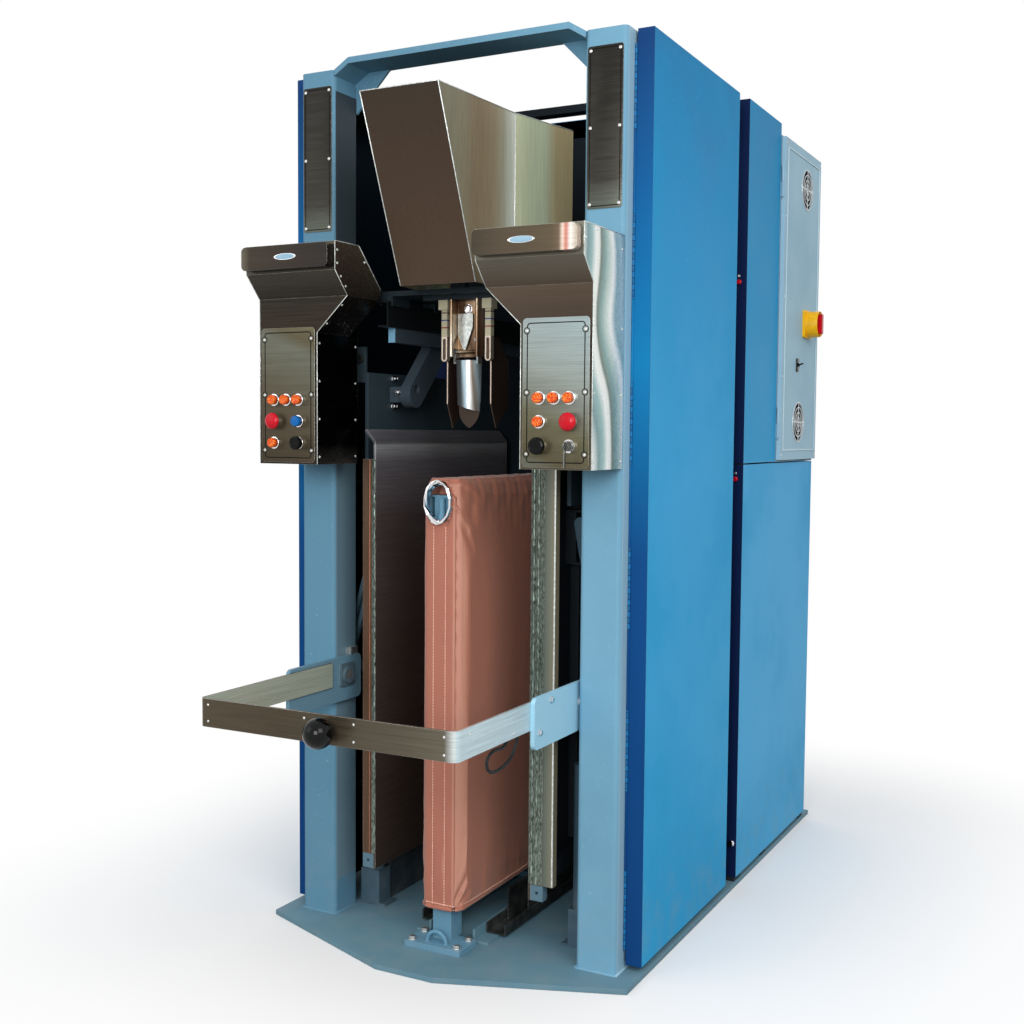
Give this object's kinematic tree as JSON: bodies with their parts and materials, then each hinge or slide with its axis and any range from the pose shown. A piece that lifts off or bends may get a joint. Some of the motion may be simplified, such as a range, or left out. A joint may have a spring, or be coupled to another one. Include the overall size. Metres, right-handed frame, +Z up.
{
  "type": "industrial pants press",
  "caption": "Upright trouser press with a padded buck between two sliding heads, a sliding hood with clamps, control boxes, side doors and a lifting guard bar.",
  "frame": {"origin": "centre of the underside of the base plate", "axes": "+X to the operator's right as seen from the front, +Y to the back of the machine, +Z up"},
  "size_m": [1.0503, 2.0949, 2.175],
  "materials": {
    "frame_paint": "satin",
    "door_paint": "satin",
    "enclosure_paint": "satin",
    "stainless": "brushed",
    "polished_plate": "polished",
    "chrome": "polished",
    "pad_cover": "satin weave",
    "black_paint": "satin",
    "black_plastic": "gloss",
    "orange_plastic": "gloss",
    "red_plastic": "gloss",
    "blue_plastic": "gloss",
    "cable_rubber": "matte",
    "zinc": "zinc plated"
  },
  "bodies": {
    "frame": {"base_plate": "frame_paint", "left_column": "frame_paint", "right_column": "frame_paint", "lintel": "frame_paint", "rear_frame": "frame_paint", "door_hinges": "zinc", "left_rear_panels": "door_paint", "right_rear_panels": "door_paint", "cabinet_covers": "door_paint", "electrical_enclosure": "enclosure_paint", "left_control_box": "stainless", "right_control_box": "stainless", "control_faceplates": "stainless", "button_bezels": "chrome", "buck_frame": "frame_paint", "buck_pad": "pad_cover", "head_guides": "frame_paint", "head_cylinders": "frame_paint", "floor_rails": "frame_paint", "floor_channels": "black_paint", "carriage_rails": "frame_paint", "carriage_cylinder": "zinc", "guard_pivots": "zinc"},
    "left_door": {"left_door": "door_paint"},
    "right_door": {"right_door": "door_paint"},
    "enclosure_door": {"enclosure_door": "enclosure_paint"},
    "upper_fan": {"upper_fan": "black_plastic"},
    "lower_fan": {"lower_fan": "black_plastic"},
    "disconnect_handle": {"disconnect_handle": "red_plastic"},
    "left_push_bar": {"left_push_bar": "stainless"},
    "right_push_bar": {"right_push_bar": "stainless"},
    "key_switch": {"right_key_switch": "chrome"},
    "left_head": {"left_press_plate": "polished_plate", "left_head_frame": "frame_paint"},
    "right_head": {"right_press_plate": "polished_plate", "right_head_frame": "frame_paint"},
    "left_lever": {"left_lever": "frame_paint"},
    "right_lever": {"right_lever": "frame_paint"},
    "left_cylinder_rod": {"left_cylinder_rod": "zinc"},
    "right_cylinder_rod": {"right_cylinder_rod": "zinc"},
    "guard": {"guard_bar": "stainless", "guard_cable": "cable_rubber"},
    "carriage": {"carriage": "zinc", "hood": "stainless"},
    "left_waist_arm": {"left_waist_arm": "chrome"},
    "right_waist_arm": {"right_waist_arm": "chrome"},
    "fly_clamp_jaw": {"fly_clamp_jaw": "chrome"},
    "left_lamp_button_1": {"left_lamp_button_1": "orange_plastic"},
    "left_lamp_button_2": {"left_lamp_button_2": "orange_plastic"},
    "left_lamp_button_3": {"left_lamp_button_3": "orange_plastic"},
    "left_red_mushroom": {"left_red_mushroom": "red_plastic"},
    "left_blue_button": {"left_blue_button": "blue_plastic"},
    "left_orange_button": {"left_orange_button": "orange_plastic"},
    "left_black_button": {"left_black_button": "black_plastic"},
    "right_lamp_button_1": {"right_lamp_button_1": "orange_plastic"},
    "right_lamp_button_2": {"right_lamp_button_2": "orange_plastic"},
    "right_lamp_button_3": {"right_lamp_button_3": "orange_plastic"},
    "right_orange_button": {"right_orange_button": "orange_plastic"},
    "right_red_mushroom": {"right_red_mushroom": "red_plastic"},
    "right_black_button": {"right_black_button": "black_plastic"}
  },
  "joints": [
    {"name": "right_door_hinge", "type": "hinge", "parent": "frame", "child": "right_door", "pos_m": [0.446, -0.60425, 1.09], "axis": [0, 0, -1], "range_deg": [0, 95]},
    {"name": "left_door_hinge", "type": "hinge", "parent": "frame", "child": "left_door", "pos_m": [-0.446, -0.60425, 1.09], "axis": [0, 0, 1], "range_deg": [0, 95]},
    {"name": "enclosure_door_hinge", "type": "hinge", "parent": "frame", "child": "enclosure_door", "pos_m": [0.4993, 0.38715, 1.64], "axis": [0, 0, -1], "range_deg": [0, 110]},
    {"name": "upper_fan_spin", "type": "hinge", "parent": "enclosure_door", "child": "upper_fan", "pos_m": [0.4933, 0.63075, 2.004], "axis": [1, 0, 0], "continuous": true},
    {"name": "lower_fan_spin", "type": "hinge", "parent": "enclosure_door", "child": "lower_fan", "pos_m": [0.4933, 0.57975, 1.295], "axis": [1, 0, 0], "continuous": true},
    {"name": "disconnect_turn", "type": "hinge", "parent": "enclosure_door", "child": "disconnect_handle", "pos_m": [0.5133, 0.65175, 1.597], "axis": [1, 0, 0], "range_deg": [0, 90]},
    {"name": "left_push_bar_press", "type": "slide", "parent": "frame", "child": "left_push_bar", "axis": [0, 1, 0], "range_m": [0, 0.003], "stiffness_N_per_m": 3000},
    {"name": "right_push_bar_press", "type": "slide", "parent": "frame", "child": "right_push_bar", "axis": [0, 1, 0], "range_m": [0, 0.003], "stiffness_N_per_m": 3000},
    {"name": "key_turn", "type": "hinge", "parent": "frame", "child": "key_switch", "pos_m": [0.3935, -0.82825, 1.227], "axis": [0, 1, 0], "range_deg": [0, 60]},
    {"name": "right_head_press", "type": "slide", "parent": "frame", "child": "right_head", "axis": [-1, 0, 0], "range_m": [0, 0.15]},
    {"name": "left_head_press", "type": "slide", "parent": "frame", "child": "left_head", "axis": [1, 0, 0], "range_m": [0, 0.15]},
    {"name": "right_lever_swing", "type": "hinge", "parent": "frame", "child": "right_lever", "pos_m": [0.395, -0.52025, 0.64], "axis": [0, -1, 0], "range_deg": [0, 23.5]},
    {"name": "left_lever_swing", "type": "hinge", "parent": "frame", "child": "left_lever", "pos_m": [-0.395, -0.52025, 0.64], "axis": [0, 1, 0], "range_deg": [0, 23.5]},
    {"name": "right_rod_pull", "type": "slide", "parent": "frame", "child": "right_cylinder_rod", "axis": [0, 0, -1], "range_m": [0, 0.0405]},
    {"name": "left_rod_pull", "type": "slide", "parent": "frame", "child": "left_cylinder_rod", "axis": [0, 0, -1], "range_m": [0, 0.0405]},
    {"name": "guard_lift", "type": "hinge", "parent": "frame", "child": "guard", "pos_m": [0, -0.62225, 0.635], "axis": [-1, 0, 0], "range_deg": [0, 50]},
    {"name": "carriage_slide", "type": "slide", "parent": "frame", "child": "carriage", "axis": [0, 1, 0], "range_m": [0, 0.25]},
    {"name": "left_waist_spread", "type": "slide", "parent": "carriage", "child": "left_waist_arm", "axis": [-1, 0, 0], "range_m": [0, 0.04]},
    {"name": "right_waist_spread", "type": "slide", "parent": "carriage", "child": "right_waist_arm", "axis": [1, 0, 0], "range_m": [0, 0.04]},
    {"name": "fly_clamp_open", "type": "hinge", "parent": "carriage", "child": "fly_clamp_jaw", "pos_m": [0, -0.57325, 1.452], "axis": [-1, 0, 0], "range_deg": [0, 20]},
    {"name": "left_lamp_button_1_press", "type": "slide", "parent": "frame", "child": "left_lamp_button_1", "axis": [0, 1, 0], "range_m": [0, 0.004], "stiffness_N_per_m": 800},
    {"name": "left_lamp_button_2_press", "type": "slide", "parent": "frame", "child": "left_lamp_button_2", "axis": [0, 1, 0], "range_m": [0, 0.004], "stiffness_N_per_m": 800},
    {"name": "left_lamp_button_3_press", "type": "slide", "parent": "frame", "child": "left_lamp_button_3", "axis": [0, 1, 0], "range_m": [0, 0.004], "stiffness_N_per_m": 800},
    {"name": "left_red_mushroom_press", "type": "slide", "parent": "frame", "child": "left_red_mushroom", "axis": [0, 1, 0], "range_m": [0, 0.004], "stiffness_N_per_m": 800},
    {"name": "left_blue_button_press", "type": "slide", "parent": "frame", "child": "left_blue_button", "axis": [0, 1, 0], "range_m": [0, 0.004], "stiffness_N_per_m": 800},
    {"name": "left_orange_button_press", "type": "slide", "parent": "frame", "child": "left_orange_button", "axis": [0, 1, 0], "range_m": [0, 0.004], "stiffness_N_per_m": 800},
    {"name": "left_black_button_press", "type": "slide", "parent": "frame", "child": "left_black_button", "axis": [0, 1, 0], "range_m": [0, 0.004], "stiffness_N_per_m": 800},
    {"name": "right_lamp_button_1_press", "type": "slide", "parent": "frame", "child": "right_lamp_button_1", "axis": [0, 1, 0], "range_m": [0, 0.004], "stiffness_N_per_m": 800},
    {"name": "right_lamp_button_2_press", "type": "slide", "parent": "frame", "child": "right_lamp_button_2", "axis": [0, 1, 0], "range_m": [0, 0.004], "stiffness_N_per_m": 800},
    {"name": "right_lamp_button_3_press", "type": "slide", "parent": "frame", "child": "right_lamp_button_3", "axis": [0, 1, 0], "range_m": [0, 0.004], "stiffness_N_per_m": 800},
    {"name": "right_orange_button_press", "type": "slide", "parent": "frame", "child": "right_orange_button", "axis": [0, 1, 0], "range_m": [0, 0.004], "stiffness_N_per_m": 800},
    {"name": "right_red_mushroom_press", "type": "slide", "parent": "frame", "child": "right_red_mushroom", "axis": [0, 1, 0], "range_m": [0, 0.004], "stiffness_N_per_m": 800},
    {"name": "right_black_button_press", "type": "slide", "parent": "frame", "child": "right_black_button", "axis": [0, 1, 0], "range_m": [0, 0.004], "stiffness_N_per_m": 800}
  ],
  "couplings": [
    {"joint": "left_head_press", "follows": "right_head_press", "ratio": 1},
    {"joint": "right_lever_swing", "follows": "right_head_press", "rad_per_m": 2.7264},
    {"joint": "left_lever_swing", "follows": "right_head_press", "rad_per_m": 2.7264},
    {"joint": "right_rod_pull", "follows": "right_head_press", "ratio": 0.26833},
    {"joint": "left_rod_pull", "follows": "right_head_press", "ratio": 0.26833},
    {"joint": "left_waist_spread", "follows": "right_waist_spread", "ratio": 1}
  ]
}
